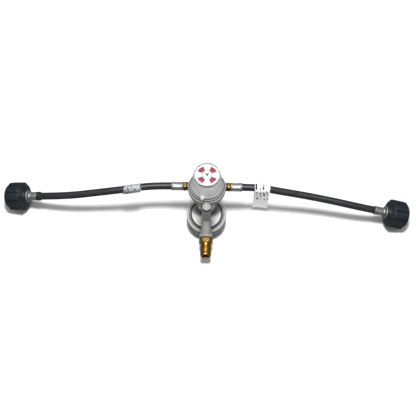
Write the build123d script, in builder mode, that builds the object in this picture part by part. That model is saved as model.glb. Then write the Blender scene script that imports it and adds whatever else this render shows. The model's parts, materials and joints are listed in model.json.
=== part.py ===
"""Two-stage automatic changeover propane regulator with two pigtail hoses.

The origin is the middle of the second-stage bonnet's flat base. +Z runs up both
stage axes, and the outlet points along -Y. Each pigtail leaves its inlet along
X and comes down to a hand nut that lies on the same surface as the base.
"""

import math
import os

from build123d import *

os.makedirs("parts", exist_ok=True)

# Driving dimensions, in millimetres
RIM_R = 34.5  # second-stage rim
BONNET_TOP = 25.0  # where the second-stage bonnet meets its diaphragm
DIAPHRAGM_2 = 1.0
CASTING_LOW = BONNET_TOP + DIAPHRAGM_2
RIM_TOP = 34.5
CHAMBER_R = 24.6
CHAMBER_TOP = 36.0
DISH_TOP = 39.2

FIRST_Y = 22.0  # first-stage axis, behind the second-stage axis
FLANGE_R = 32.5
FLANGE_LOW = 89.5
SEAT_1 = 94.3  # where the first-stage diaphragm lies
DIAPHRAGM_1 = 0.6
BONNET_1_LOW = SEAT_1 + DIAPHRAGM_1
BOWL_R = 24.0
BOWL_FLOOR = 80.0

COLUMN_Y = -18.0  # gas column with the test port in its top
COLUMN_R = 8.2
COLUMN_TOP = 91.5
WEB_LENGTH = 23.5  # the web that joins the column to the neck
TEST_HEX = 14.3  # across flats
TEST_HEX_HEIGHT = 10.5

OUTLET_Z = 32.0
OUTLET_BOSS_END = 45.1
OUTLET_BOSS_R = 12.0
OUTLET_SOCKET = 35.5  # where the socket for the outlet fitting starts
OUTLET_SOCKET_R = 7.5
OUTLET_BORE_R = 5.4
OUTLET_THREAD_R = 9.5
OUTLET_END = 79.1
OUTLET_HEX = 20.6
OUTLET_HEX_LENGTH = 9.5

INLET_Y = 29.0
INLET_Z = 86.0
INLET_FACE = 33.0
FLARE_HEX = 15.4
FERRULE_R = 7.7
FERRULE_START = 41.0
FERRULE_END = 61.0

KNOB_LOW = 102.7
KNOB_R = 26.4
KNOB_DECK = 124.0
KNOB_RIM = 136.0  # top of the knob's wall, which carries the clear cap
KNOB_RIM_R = 23.6
KNOB_WALL_R = 21.2
LENS_R = 23.3
LENS_TOP = 141.0
LENS_WALL = 1.6
DRUM_TOP = 136.4
SPINDLE_R = 5.0
STEM_R = 1.7
RUNNING = 0.05  # radial clearance of every running fit
POINTER_DEG = -106.0  # the pointer's direction from +X at rest

HOSE_R = 6.35
NUT_TILT_DEG = 20.0  # how far each hand nut's axis dips towards its mouth
NUT_LENGTH = 37.0
NUT_BODY_R = 22.4
NUT_RIB_R = 25.0
NUT_RIBS = 10
RIB_START = 8.0
RIB_END = 33.0
THREAD_R = 16.3
SHANK_R = 5.5
PROBE_R = 8.0
# A hand nut lies on the outer end of its lowest rib
NUT_FACE_Z = NUT_RIB_R * math.cos(math.radians(NUT_TILT_DEG)) + RIB_END * math.sin(
    math.radians(NUT_TILT_DEG)
)


def nut_axis(side, x, y, plan_deg):
    """The nut's hose-side face centre and the direction from there to its mouth."""
    dip = math.radians(NUT_TILT_DEG)
    plan = math.radians(plan_deg)
    direction = Vector(
        side * math.cos(dip) * math.cos(plan),
        math.cos(dip) * math.sin(plan),
        -math.sin(dip),
    )
    return Vector(x, y, NUT_FACE_Z), direction


SIDES = {
    "left": {"sign": -1, "nut": nut_axis(-1, -316.8, 31.2, 10.0), "ferrule_back": 19.0},
    "right": {"sign": 1, "nut": nut_axis(1, 316.2, 12.7, 0.0), "ferrule_back": 23.0},
}
LAST_RUN = 24.0


def route_of(name, free_points):
    """A hose's route: out of its ferrule, through the free points, into the far ferrule."""
    side = SIDES[name]
    face, direction = side["nut"]
    start = Vector(side["sign"] * FERRULE_END, INLET_Y, INLET_Z)
    end = face - direction * side["ferrule_back"]
    return [start, *free_points, end - direction * LAST_RUN, end]


ROUTES = {
    "left": route_of(
        "left",
        [
            Vector(-94, 29, 86),
            Vector(-139, 22.7, 83),
            Vector(-186, 20.5, 74),
            Vector(-235, 20.1, 61.5),
        ],
    ),
    "right": route_of(
        "right",
        [
            Vector(90, 29, 86),
            Vector(128, 26.5, 78.5),
            Vector(176, 24.8, 67),
            Vector(224, 18.8, 60),
        ],
    ),
}


def axis_plane(origin, direction):
    """The plane of a turned profile: local X is the radius, local Y runs along the axis."""
    along = Vector(*direction).normalized()
    if abs(along.Z) > 0.99:
        across = Vector(1, 0, 0)
    else:
        across = along.cross(Vector(0, 0, 1)).normalized()
    return Plane(origin=origin, x_dir=across, z_dir=across.cross(along))


def section_plane(origin, direction, distance):
    """The plane across an axis at a distance along it, with local X level."""
    along = Vector(*direction).normalized()
    across = axis_plane(origin, direction).x_dir
    return Plane(origin=Vector(*origin) + along * distance, x_dir=across, z_dir=along)


def turned(profile, origin=(0, 0, 0), direction=(0, 0, 1)):
    """A body of revolution from (radius, distance) points."""
    with BuildPart() as made:
        with BuildSketch(axis_plane(origin, direction)):
            with BuildLine():
                Polyline(profile, close=True)
            make_face()
        revolve(axis=Axis(origin, direction))
    return made


def coil(radius, wire_r, low, high, turns, origin, direction):
    """A helical spring between two distances along an axis."""
    along = Vector(*direction).normalized()
    start = Vector(*origin) + along * low
    with BuildPart() as made:
        with BuildLine() as path:
            Helix((high - low) / turns, high - low, radius, center=start, direction=along)
        with BuildSketch(Plane(origin=path.line @ 0, z_dir=path.line % 0)):
            Circle(wire_r)
        sweep(is_frenet=True)
    return made


def save(made, name):
    made.part.label = name
    export_step(made.part, f"parts/{name}.step")


# ---------------------------------------------------------------- main casting
MIDDLE = (0, 0, 0)
FIRST = (0, FIRST_Y, 0)
OUTLET = (0, 0, OUTLET_Z)
OUTWARD = (0, -1, 0)
ELBOW = (0, COLUMN_Y, 60)
ELBOW_DOWN = (0, -20.5, -26)
ELBOW_LENGTH = 30.0
VALVE_Y = 10.0  # the second-stage orifice stands over the chamber here
LEVER_Y = 6.0
LEVER_Z = 31.6
LEVER_PIN_R = 0.9

with BuildPart() as main_body:
    # second-stage casting: rim, groove and shallow dish over the chamber
    with BuildSketch(Plane.XZ):
        with BuildLine():
            Polyline(
                (0, CHAMBER_TOP),
                (CHAMBER_R, CHAMBER_TOP),
                (CHAMBER_R, CASTING_LOW),
                (RIM_R, CASTING_LOW),
                (RIM_R, RIM_TOP - 0.8),
                (RIM_R - 0.8, RIM_TOP),
                (30.4, RIM_TOP),
                (29.8, RIM_TOP - 1.8),
                (27.6, RIM_TOP - 1.8),
                (25.6, DISH_TOP - 0.8),
                (24.8, DISH_TOP),
                (23.4, DISH_TOP),
            )
            ThreePointArc((23.4, DISH_TOP), (16.5, DISH_TOP - 0.9), (9, DISH_TOP - 0.6))
            Polyline((9, DISH_TOP - 0.6), (0, DISH_TOP - 0.6), (0, CHAMBER_TOP))
        make_face()
    revolve(axis=Axis.Z)
    # first-stage bowl and its flange
    with BuildSketch(Plane.XZ.offset(-FIRST_Y)):
        with BuildLine():
            Polyline(
                (0, BOWL_FLOOR),
                (0, 64),
                (18.5, 64),
                (24.5, 69),
            )
            ThreePointArc((24.5, 69), (28.4, 78), (29.4, FLANGE_LOW - 1))
            Polyline(
                (29.4, FLANGE_LOW - 1),
                (30.6, FLANGE_LOW),
                (FLANGE_R - 0.6, FLANGE_LOW),
                (FLANGE_R, FLANGE_LOW + 0.6),
                (FLANGE_R, SEAT_1),
                (BOWL_R, SEAT_1),
                (BOWL_R, BOWL_FLOOR + 2),
                (BOWL_R - 2, BOWL_FLOOR),
                (0, BOWL_FLOOR),
            )
        make_face()
    revolve(axis=Axis(FIRST, (0, 0, 1)))
    # neck between the stages, which widens under the bowl
    with BuildSketch(Plane.XY.offset(DISH_TOP - 1.6)):
        with Locations((0, 11.5)):
            RectangleRounded(25, 19, 8)
    with BuildSketch(Plane.XY.offset(68)):
        with Locations((0, 18)):
            RectangleRounded(40, 38, 12)
    loft()
    # gas column and the test port's seat
    with BuildSketch(Plane.XY.offset(DISH_TOP - 1.6)):
        with Locations((0, COLUMN_Y)):
            Circle(COLUMN_R)
        with Locations((0, COLUMN_Y + WEB_LENGTH / 2)):
            Rectangle(11, WEB_LENGTH)
    extrude(amount=84 - DISH_TOP + 1.6)
    with BuildSketch(Plane.XY.offset(83)):
        with Locations((0, COLUMN_Y)):
            Circle(COLUMN_R)
    extrude(amount=COLUMN_TOP - 83)
    # outlet boss, waisted behind its heavy end band
    with BuildSketch(axis_plane(OUTLET, OUTWARD)):
        with BuildLine():
            Polyline((0, 20), (7.6, 20), (7.8, 27))
            ThreePointArc((7.8, 27), (8.8, 32), (OUTLET_BOSS_R, 36))
            Polyline(
                (OUTLET_BOSS_R, 36),
                (OUTLET_BOSS_R, OUTLET_BOSS_END - 1.2),
                (OUTLET_BOSS_R - 1.0, OUTLET_BOSS_END),
                (0, OUTLET_BOSS_END),
                (0, 20),
            )
        make_face()
    revolve(axis=Axis(OUTLET, OUTWARD))
    # elbow that slopes from the column down to the outlet boss
    with BuildSketch(axis_plane(ELBOW, ELBOW_DOWN)):
        with BuildLine():
            Polyline(
                (0, -4),
                (4.5, -4),
                (6.6, -1),
                (10.0, ELBOW_LENGTH),
                (0, ELBOW_LENGTH),
                close=True,
            )
        make_face()
    revolve(axis=Axis(ELBOW, ELBOW_DOWN))
    # the underside stays clear of the second-stage bonnet and diaphragm
    with BuildSketch(Plane.XY.offset(CASTING_LOW)):
        Circle(RIM_R + 0.3)
    extrude(amount=-16, mode=Mode.SUBTRACT)
    # inlet bosses
    for sign in (-1, 1):
        with BuildSketch(section_plane((0, INLET_Y, INLET_Z), (sign, 0, 0), BOWL_R - 1.5)):
            Circle(7.8)
        extrude(amount=INLET_FACE - BOWL_R + 1.5)
    # lugs that hold the lever's pin
    with BuildSketch(Plane.XY.offset(CHAMBER_TOP + 0.5)):
        with Locations((-4.6, LEVER_Y), (4.6, LEVER_Y)):
            Rectangle(2.4, 4)
    extrude(amount=-(CHAMBER_TOP + 0.5 - LEVER_Z + 1.8))
    # hollows: inlet ports, gas ways and lever pin holes
    for sign in (-1, 1):
        inlet = (0, INLET_Y, INLET_Z)
        with BuildSketch(section_plane(inlet, (sign, 0, 0), BOWL_R - 6)):
            Circle(3.0)
        extrude(amount=12, mode=Mode.SUBTRACT)
        with BuildSketch(section_plane(inlet, (sign, 0, 0), 29.6)):
            Circle(5.6)
        extrude(amount=INLET_FACE - 29.6, mode=Mode.SUBTRACT)
    with BuildSketch(Plane.XY.offset(CHAMBER_TOP - 0.5)):
        with Locations((0, VALVE_Y)):
            Circle(2.2)
    extrude(amount=BOWL_FLOOR - CHAMBER_TOP + 1, mode=Mode.SUBTRACT)
    with BuildSketch(Plane.XY.offset(CHAMBER_TOP - 0.5)):
        with Locations((0, VALVE_Y)):
            Circle(3.5)
    extrude(amount=5.5, mode=Mode.SUBTRACT)
    with BuildSketch(Plane.XY.offset(COLUMN_TOP)):
        with Locations((0, COLUMN_Y)):
            Circle(4.8)
    extrude(amount=-9, mode=Mode.SUBTRACT)
    with BuildSketch(section_plane(OUTLET, OUTWARD, 21)):
        Circle(OUTLET_BORE_R)
    extrude(amount=OUTLET_BOSS_END - 21, mode=Mode.SUBTRACT)
    with BuildSketch(section_plane(OUTLET, OUTWARD, OUTLET_SOCKET)):
        Circle(OUTLET_SOCKET_R)
    extrude(amount=OUTLET_BOSS_END - OUTLET_SOCKET, mode=Mode.SUBTRACT)
    with BuildSketch(section_plane((0, LEVER_Y, LEVER_Z), (1, 0, 0), -8)):
        Circle(LEVER_PIN_R)
    extrude(amount=16, mode=Mode.SUBTRACT)
save(main_body, "main_body")

# ------------------------------------------------------------ second stage
with BuildPart() as second_stage_bonnet:
    with BuildSketch(Plane.XZ):
        with BuildLine():
            Polyline(
                (11, 0),
                (28.0, 0),
                (29.0, 1.0),
                (29.0, 21.0),
                (30.5, 22.5),
                (RIM_R - 0.6, 22.5),
                (RIM_R, 23.1),
                (RIM_R, BONNET_TOP),
                (26.4, BONNET_TOP),
                (26.4, 2.6),
                (13.6, 2.6),
                (13.6, 14),
                (11, 14),
                close=True,
            )
        make_face()
    revolve(axis=Axis.Z)
    # hooded vent below the outlet
    with BuildSketch(section_plane((0, 0, 11.5), OUTWARD, 27.5)):
        Circle(7.4)
    extrude(amount=7.5)
    with BuildSketch(section_plane((0, 0, 11.5), OUTWARD, 22)):
        Circle(5.0)
    extrude(amount=14, mode=Mode.SUBTRACT)
save(second_stage_bonnet, "second_stage_bonnet")

vent_screen = turned([(0, 32.4), (4.95, 32.4), (4.95, 33.0), (0, 33.0)], (0, 0, 11.5), OUTWARD)
save(vent_screen, "vent_screen")

with BuildPart() as closing_cap:
    with BuildSketch(Plane.XY):
        Circle(10.9)
    extrude(amount=4)
    with BuildSketch(Plane.XY):
        Rectangle(14, 2.4)
    extrude(amount=1.6, mode=Mode.SUBTRACT)
save(closing_cap, "closing_cap")

with BuildPart() as adjusting_screw:
    with BuildSketch(Plane.XY.offset(5.4)):
        Circle(10.9)
        RegularPolygon(4.6, 6, mode=Mode.SUBTRACT)
    extrude(amount=3.4)
save(adjusting_screw, "adjusting_screw")

second_stage_spring = coil(8.6, 0.85, 9.8, 22.8, 4.5, MIDDLE, (0, 0, 1))
save(second_stage_spring, "second_stage_spring")

second_stage_diaphragm = turned(
    [(11, BONNET_TOP), (34.2, BONNET_TOP), (34.2, CASTING_LOW), (11, CASTING_LOW)]
)
save(second_stage_diaphragm, "second_stage_diaphragm")

second_stage_plate = turned(
    [
        (0, 23.7),
        (14, 23.7),
        (14, 24.7),
        (10.6, 24.7),
        (10.6, 26.3),
        (18, 26.3),
        (18, 27.3),
        (2, 27.3),
        (2, 30.4),
        (0, 30.4),
    ]
)
save(second_stage_plate, "second_stage_plate")

with BuildPart() as lever:
    with BuildSketch(Plane.XY.offset(LEVER_Z - 0.6)):
        with Locations((0, 5)):
            SlotCenterToCenter(10, 5, rotation=90)
    extrude(amount=1.2)
    with BuildSketch(section_plane((0, LEVER_Y, LEVER_Z), (1, 0, 0), -2.5)):
        Circle(1.5)
    extrude(amount=5)
    with BuildSketch(section_plane((0, LEVER_Y, LEVER_Z), (1, 0, 0), -3)):
        Circle(LEVER_PIN_R + RUNNING)
    extrude(amount=6, mode=Mode.SUBTRACT)
save(lever, "lever")

lever_pin = turned(
    [(0, -5.7), (LEVER_PIN_R, -5.7), (LEVER_PIN_R, 5.7), (0, 5.7)],
    (0, LEVER_Y, LEVER_Z),
    (1, 0, 0),
)
save(lever_pin, "lever_pin")

orifice = turned(
    [(1.3, 34.8), (1.8, 34.8), (2.2, 35.2), (3.8, 35.2), (3.8, 36), (3.5, 36), (3.5, 41), (1.3, 41)],
    (0, VALVE_Y, 0),
)
save(orifice, "orifice")

valve_disc = turned(
    [(0, 32.6), (1.8, 32.6), (2.2, 33.0), (2.2, 33.8), (0.8, 33.8), (0.8, 38), (0, 38)],
    (0, VALVE_Y, 0),
)
save(valve_disc, "valve_disc")

# ------------------------------------------------------------- first stage
first_stage_diaphragm = turned(
    [(10.3, SEAT_1), (32.0, SEAT_1), (32.0, BONNET_1_LOW), (10.3, BONNET_1_LOW)], FIRST
)
save(first_stage_diaphragm, "first_stage_diaphragm")

first_stage_bonnet = turned(
    [
        (22, BONNET_1_LOW),
        (FLANGE_R, BONNET_1_LOW),
        (FLANGE_R, 98.2),
        (31.7, 99.0),
        (30.6, 99.0),
        (30.3, 97.8),
        (29.4, 97.8),
        (29.1, 100.2),
        (26.8, 100.2),
        (24.6, 100.2),
        (24.2, 101.4),
        (12.8, 101.4),
        (12.8, 118.0),
        (SPINDLE_R + RUNNING, 118.0),
        (SPINDLE_R + RUNNING, 115.0),
        (9.2, 115.0),
        (9.2, 98.5),
        (22, 98.5),
    ],
    FIRST,
)
save(first_stage_bonnet, "first_stage_bonnet")

# The plate carries the wedge that spreads the two inlet pins
with BuildPart() as first_stage_plate:
    with BuildSketch(Plane.XZ.offset(-FIRST_Y)):
        with BuildLine():
            Polyline(
                (0, 92.8),
                (17, 92.8),
                (17, 93.8),
                (10, 93.8),
                (10, 95.3),
                (16, 95.3),
                (16, 96.2),
                (0, 96.2),
                close=True,
            )
        make_face()
    revolve(axis=Axis(FIRST, (0, 0, 1)))
    with BuildSketch(Plane.XZ.offset(-INLET_Y - 2.5)):
        with BuildLine():
            Polyline((-3, 83), (3, 83), (7.8, 93), (-7.8, 93), close=True)
        make_face()
    extrude(amount=5)
save(first_stage_plate, "first_stage_plate")

first_stage_spring = coil(7.0, 0.8, 97.1, 108.0, 4, FIRST, (0, 0, 1))
save(first_stage_spring, "first_stage_spring")

with BuildPart() as test_plug:
    with BuildSketch(Plane.XY.offset(COLUMN_TOP)):
        with Locations((0, COLUMN_Y)):
            RegularPolygon(TEST_HEX / 2, 6, major_radius=False, rotation=0)
    extrude(amount=TEST_HEX_HEIGHT)
    with BuildSketch(Plane.XY.offset(COLUMN_TOP)):
        with Locations((0, COLUMN_Y)):
            Circle(4.8)
    extrude(amount=-8)
    chamfer(test_plug.faces().sort_by(Axis.Z)[-1].edges(), 0.8)
    fillet(test_plug.faces().sort_by(Axis.Z)[0].edges(), 0.5)
save(test_plug, "test_plug")

# ------------------------------------------------------- selector and indicator
with BuildPart() as knob_shell:
    with BuildSketch(Plane.XZ.offset(-FIRST_Y)):
        with BuildLine():
            Polyline(
                (SPINDLE_R, KNOB_DECK),
                (SPINDLE_R, 119.2),
                (8.5, 119.2),
                (8.5, 121.2),
                (20.8, 121.2),
                (23.6, 112),
                (24.0, KNOB_LOW),
                (KNOB_R, KNOB_LOW),
                (KNOB_R, KNOB_LOW + 2.2),
                (KNOB_R - 0.8, KNOB_LOW + 3.2),
            )
            ThreePointArc(
                (KNOB_R - 0.8, KNOB_LOW + 3.2),
                (KNOB_R - 1.2, 121),
                (KNOB_RIM_R, KNOB_RIM),
            )
            Polyline(
                (KNOB_RIM_R, KNOB_RIM),
                (KNOB_WALL_R, KNOB_RIM),
                (KNOB_WALL_R, KNOB_DECK),
                (SPINDLE_R, KNOB_DECK),
            )
        make_face()
    revolve(axis=Axis(FIRST, (0, 0, 1)))
    # pointer at the foot of the knob
    with BuildSketch(Plane.XY.offset(KNOB_LOW)):
        with Locations(Location((0, FIRST_Y, 0), (0, 0, POINTER_DEG))):
            Polygon((25, -5.8), (32.6, 0), (25, 5.8), align=None)
    extrude(amount=3.2)
save(knob_shell, "knob_shell")

with BuildPart() as knob_lens:
    with BuildSketch(Plane.XY.offset(KNOB_RIM)):
        with Locations((0, FIRST_Y)):
            Circle(LENS_R)
    extrude(amount=LENS_TOP - KNOB_RIM)
    fillet(knob_lens.faces().sort_by(Axis.Z)[-1].edges(), 1.8)
    with BuildSketch(Plane.XY.offset(KNOB_RIM)):
        with Locations((0, FIRST_Y)):
            Circle(LENS_R - LENS_WALL)
    extrude(amount=LENS_TOP - KNOB_RIM - LENS_WALL, mode=Mode.SUBTRACT)
save(knob_lens, "knob_lens")

DIAL_TOP = LENS_TOP - LENS_WALL
DIAL_THICK = 1.2
with BuildPart() as indicator_dial:
    with BuildSketch(Plane.XY.offset(DIAL_TOP - DIAL_THICK)):
        with Locations((0, FIRST_Y)):
            Circle(21.2)
        with Locations((0, FIRST_Y)):
            with PolarLocations(0, 4, start_angle=45):
                Polygon(
                    (9.0, -3.4),
                    (18.8, -5.8),
                    (18.8, 5.8),
                    (9.0, 3.4),
                    align=None,
                    mode=Mode.SUBTRACT,
                )
    extrude(amount=DIAL_THICK)
save(indicator_dial, "indicator_dial")

indicator_drum = turned(
    [
        (STEM_R, 130),
        (4.2, 130),
        (4.2, DRUM_TOP - 1.6),
        (19.0, DRUM_TOP - 1.6),
        (19.0, 128.5),
        (20.4, 128.5),
        (20.4, DRUM_TOP),
        (STEM_R, DRUM_TOP),
    ],
    FIRST,
)
save(indicator_drum, "indicator_drum")

indicator_stem = turned([(0, 96.2), (STEM_R, 96.2), (STEM_R, DRUM_TOP), (0, DRUM_TOP)], FIRST)
save(indicator_stem, "indicator_stem")

selector_spindle = turned(
    [
        (STEM_R + RUNNING, 109),
        (8.7, 109),
        (8.7, 112),
        (SPINDLE_R, 113),
        (SPINDLE_R, 127),
        (STEM_R + RUNNING, 127),
    ],
    FIRST,
)
save(selector_spindle, "selector_spindle")

# ------------------------------------------------------------------ outlet
SPIGOT_START = OUTLET_SOCKET + 0.4
HEX_END = OUTLET_BOSS_END + OUTLET_HEX_LENGTH
NOSE_LENGTH = 4.0
with BuildPart() as outlet_fitting:
    with BuildSketch(section_plane(OUTLET, OUTWARD, SPIGOT_START)):
        Circle(OUTLET_SOCKET_R - RUNNING)
    extrude(amount=OUTLET_BOSS_END - SPIGOT_START)
    with BuildSketch(section_plane(OUTLET, OUTWARD, OUTLET_BOSS_END)):
        RegularPolygon(OUTLET_HEX / 2, 6, major_radius=False, rotation=0)
    extrude(amount=OUTLET_HEX_LENGTH)
    with BuildSketch(section_plane(OUTLET, OUTWARD, HEX_END)):
        Circle(OUTLET_THREAD_R)
    extrude(amount=OUTLET_END - NOSE_LENGTH - HEX_END)
    with BuildSketch(section_plane(OUTLET, OUTWARD, OUTLET_END - NOSE_LENGTH)):
        Circle(OUTLET_THREAD_R - 1.0)
    extrude(amount=NOSE_LENGTH, taper=10)
    with BuildSketch(section_plane(OUTLET, OUTWARD, SPIGOT_START - 1)):
        Circle(OUTLET_BORE_R)
    extrude(amount=OUTLET_END - SPIGOT_START + 2, mode=Mode.SUBTRACT)
save(outlet_fitting, "outlet_fitting")


# --------------------------------------------------------- inlets and pigtails
def inlet_parts(name, sign):
    """Seat, pin, spring, filter and flare nut along one inlet's axis."""
    inlet, outward = (0, INLET_Y, INLET_Z), (sign, 0, 0)
    save(
        turned([(1.7, 22.2), (3.0, 22.2), (3.0, 23.6), (2.2, 23.9), (1.7, 23.9)], inlet, outward),
        f"inlet_seat_{name}",
    )
    save(
        turned(
            [(0, 5.0), (0.5, 5.0), (1.2, 6.2), (1.2, 24.7), (2.6, 24.7), (2.6, 25.6), (0, 25.6)],
            inlet,
            outward,
        ),
        f"inlet_valve_{name}",
    )
    save(coil(2.2, 0.25, 25.9, 28.6, 4, inlet, outward), f"inlet_spring_{name}")
    save(
        turned([(0, 29.0), (2.95, 29.0), (2.95, 29.6), (0, 29.6)], inlet, outward),
        f"inlet_filter_{name}",
    )
    with BuildPart() as flare_nut:
        with BuildSketch(section_plane(inlet, outward, 30)):
            Circle(5.5)
        extrude(amount=INLET_FACE - 30)
        with BuildSketch(section_plane(inlet, outward, INLET_FACE)):
            RegularPolygon(FLARE_HEX / 2, 6, major_radius=False)
        extrude(amount=FERRULE_START - INLET_FACE)
        with BuildSketch(section_plane(inlet, outward, 29.9)):
            Circle(2.5)
        extrude(amount=12, mode=Mode.SUBTRACT)
    save(flare_nut, f"flare_nut_{name}")
    save(
        turned(
            [
                (2.5, FERRULE_START),
                (FERRULE_R - 0.8, FERRULE_START),
                (FERRULE_R, FERRULE_START + 0.8),
                (FERRULE_R, FERRULE_END - 0.8),
                (FERRULE_R - 0.6, FERRULE_END),
                (2.5, FERRULE_END),
            ],
            inlet,
            outward,
        ),
        f"inner_ferrule_{name}",
    )


def hose_tube(name):
    """The pigtail's hose: straight runs joined by tangent arcs."""
    points = ROUTES[name]
    radii = []
    for before, corner, after in zip(points, points[1:], points[2:]):
        turn = (corner - before).get_angle(after - corner)
        run = min((corner - before).length, (after - corner).length)
        radii.append(0.45 * run / math.tan(math.radians(turn) / 2))
    with BuildPart() as hose:
        with BuildLine() as path:
            FilletPolyline(*points, radius=radii)
        with BuildSketch(Plane(origin=path.line @ 0, z_dir=path.line % 0)):
            Circle(HOSE_R)
        sweep()
    length = sum(edge.length for edge in path.line.edges())
    expected = math.pi * HOSE_R**2 * length
    print(name, "hose radii", [round(r) for r in radii], "length", round(length, 1))
    print(name, "volume over section times length", round(hose.part.volume / expected, 4))
    save(hose, f"hose_{name}")


def coupling_parts(name, face, direction, back):
    """The cylinder end of a pigtail: ferrule, nipple, ring, poppet, seal and hand nut."""
    save(
        turned(
            [
                (3.0, -back),
                (FERRULE_R - 0.6, -back),
                (FERRULE_R, -back + 0.8),
                (FERRULE_R, -3.8),
                (FERRULE_R - 0.8, -3.0),
                (3.0, -3.0),
            ],
            face,
            direction,
        ),
        f"outer_ferrule_{name}",
    )
    save(
        turned([(SHANK_R, -2.4), (9.6, -2.4), (9.6, -0.6), (SHANK_R, -0.6)], face, direction),
        f"nipple_ring_{name}",
    )
    save(
        turned(
            [
                (2.5, -3.0),
                (SHANK_R, -3.0),
                (SHANK_R, 10.0),
                (11.0, 10.0),
                (11.0, 13.6),
                (PROBE_R, 13.6),
                (PROBE_R, 30.0),
                (6.4, 33.0),
                (3.4, 33.0),
                (3.4, 31.4),
                (5.0, 31.4),
                (5.0, 16.0),
                (2.5, 16.0),
            ],
            face,
            direction,
        ),
        f"nipple_{name}",
    )
    save(
        turned([(PROBE_R, 24.0), (9.0, 24.6), (9.0, 26.4), (PROBE_R, 27.0)], face, direction),
        f"probe_seal_{name}",
    )
    save(
        turned([(0, 21.5), (1.6, 21.5), (4.5, 24.0), (4.5, 29.0), (0, 29.0)], face, direction),
        f"excess_flow_poppet_{name}",
    )
    save(coil(3.6, 0.35, 16.5, 21.0, 3, face, direction), f"poppet_spring_{name}")
    with BuildPart() as nut:
        with BuildSketch(axis_plane(face, direction)):
            with BuildLine():
                Polyline(
                    (SHANK_R + RUNNING, 0),
                    (13.5, 0),
                    (15.0, 1.5),
                    (15.0, 4.0),
                    (19.0, 4.0),
                    (NUT_BODY_R, RIB_START),
                    (NUT_BODY_R, 34.0),
                    (20.4, NUT_LENGTH),
                    (17.8, NUT_LENGTH),
                    (THREAD_R, 35.5),
                    (THREAD_R, 17.0),
                    (12.0, 14.6),
                    (12.0, 9.4),
                    (SHANK_R + RUNNING, 9.4),
                    close=True,
                )
            make_face()
        revolve(axis=Axis(face, direction))
        # raised grip panels, cut back at both ends
        with BuildSketch(section_plane(face, direction, RIB_START - 0.6)) as panels:
            Circle(NUT_RIB_R)
            Circle(NUT_BODY_R - 1, mode=Mode.SUBTRACT)
            with PolarLocations(NUT_RIB_R, NUT_RIBS, start_angle=90 + 180 / NUT_RIBS):
                Rectangle(9, 4.2, mode=Mode.SUBTRACT)
        extrude(amount=RIB_END - RIB_START + 0.6)
    save(nut, f"coupling_nut_{name}")


for side_name, facts in SIDES.items():
    inlet_parts(side_name, facts["sign"])
    hose_tube(side_name)
    coupling_parts(side_name, *facts["nut"], facts["ferrule_back"])


# --------------------------------------------------- what is on the hoses
def sleeve_on(route, index, share, inner, outer, length):
    """A straight sleeve about one run of a route."""
    before, after = route[index], route[index + 1]
    along = (after - before).normalized()
    middle = before + (after - before) * share
    profile = [(inner, -length / 2), (outer, -length / 2), (outer, length / 2), (inner, length / 2)]
    return turned(profile, middle, along)


LABEL_R = HOSE_R + 0.7
hose_label = sleeve_on(ROUTES["left"], 1, 0.8, HOSE_R + 0.2, LABEL_R, 29)
save(hose_label, "hose_label")

face, direction = SIDES["left"]["nut"]
COLLAR_BACK = SIDES["left"]["ferrule_back"]
hose_collar = turned(
    [
        (HOSE_R, -COLLAR_BACK - 6.5),
        (7.9, -COLLAR_BACK - 6.5),
        (7.9, -COLLAR_BACK),
        (HOSE_R, -COLLAR_BACK),
    ],
    face,
    direction,
)
save(hose_collar, "hose_collar")

# paper tag folded over the right hose, hanging straight down
TAG_X = 94.0
TAG_Y = 28.4
TAG_HOSE_Z = 84.4
TAG_WIDTH = 31.0
TAG_LOW = 14.0
TAG_LOOP_R = HOSE_R + 1.3
with BuildPart() as hose_tag:
    with BuildSketch(Plane.YZ.offset(TAG_X - TAG_WIDTH / 2)):
        with Locations((TAG_Y, TAG_HOSE_Z)):
            Circle(TAG_LOOP_R)
        with Locations((TAG_Y, (TAG_HOSE_Z - TAG_LOOP_R + TAG_LOW) / 2)):
            Rectangle(0.8, TAG_HOSE_Z - TAG_LOOP_R - TAG_LOW + 1)
        with Locations((TAG_Y, TAG_HOSE_Z)):
            Circle(TAG_LOOP_R - 0.6, mode=Mode.SUBTRACT)
    extrude(amount=TAG_WIDTH)
save(hose_tag, "hose_tag")
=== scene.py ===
"""Looks for the two-stage changeover propane regulator and its two pigtail hoses.

Everything is in metres, in the CAD model's own frame: +Z up both stage axes, -Y out
of the outlet. Lengths written as `n * MM` are real millimetres on the object.
"""

import json
import math

import bmesh
import bpy
from mathutils import Matrix, Vector


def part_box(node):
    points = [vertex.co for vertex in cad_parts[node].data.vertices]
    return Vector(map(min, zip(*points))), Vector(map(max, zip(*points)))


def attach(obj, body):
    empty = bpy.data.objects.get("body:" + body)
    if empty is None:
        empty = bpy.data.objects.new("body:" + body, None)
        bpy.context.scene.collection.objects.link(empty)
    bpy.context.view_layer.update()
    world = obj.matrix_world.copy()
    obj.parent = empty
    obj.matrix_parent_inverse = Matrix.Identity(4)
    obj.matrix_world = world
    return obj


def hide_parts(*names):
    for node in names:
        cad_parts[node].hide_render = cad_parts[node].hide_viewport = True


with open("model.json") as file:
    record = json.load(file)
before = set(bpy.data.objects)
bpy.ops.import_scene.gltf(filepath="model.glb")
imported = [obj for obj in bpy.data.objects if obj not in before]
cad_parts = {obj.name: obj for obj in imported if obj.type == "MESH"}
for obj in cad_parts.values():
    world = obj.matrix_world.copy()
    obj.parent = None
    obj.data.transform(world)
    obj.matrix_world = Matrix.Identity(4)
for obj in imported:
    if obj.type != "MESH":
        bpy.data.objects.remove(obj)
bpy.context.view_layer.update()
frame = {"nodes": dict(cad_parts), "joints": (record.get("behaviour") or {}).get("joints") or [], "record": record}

MM = 0.001
TAU = math.tau
JOINTS = {joint["name"]: joint for joint in frame["joints"]}
MOUNTS = {mount["name"]: mount for mount in frame["record"]["mounts"]}
SIDES = {"left": -1, "right": 1}

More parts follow.
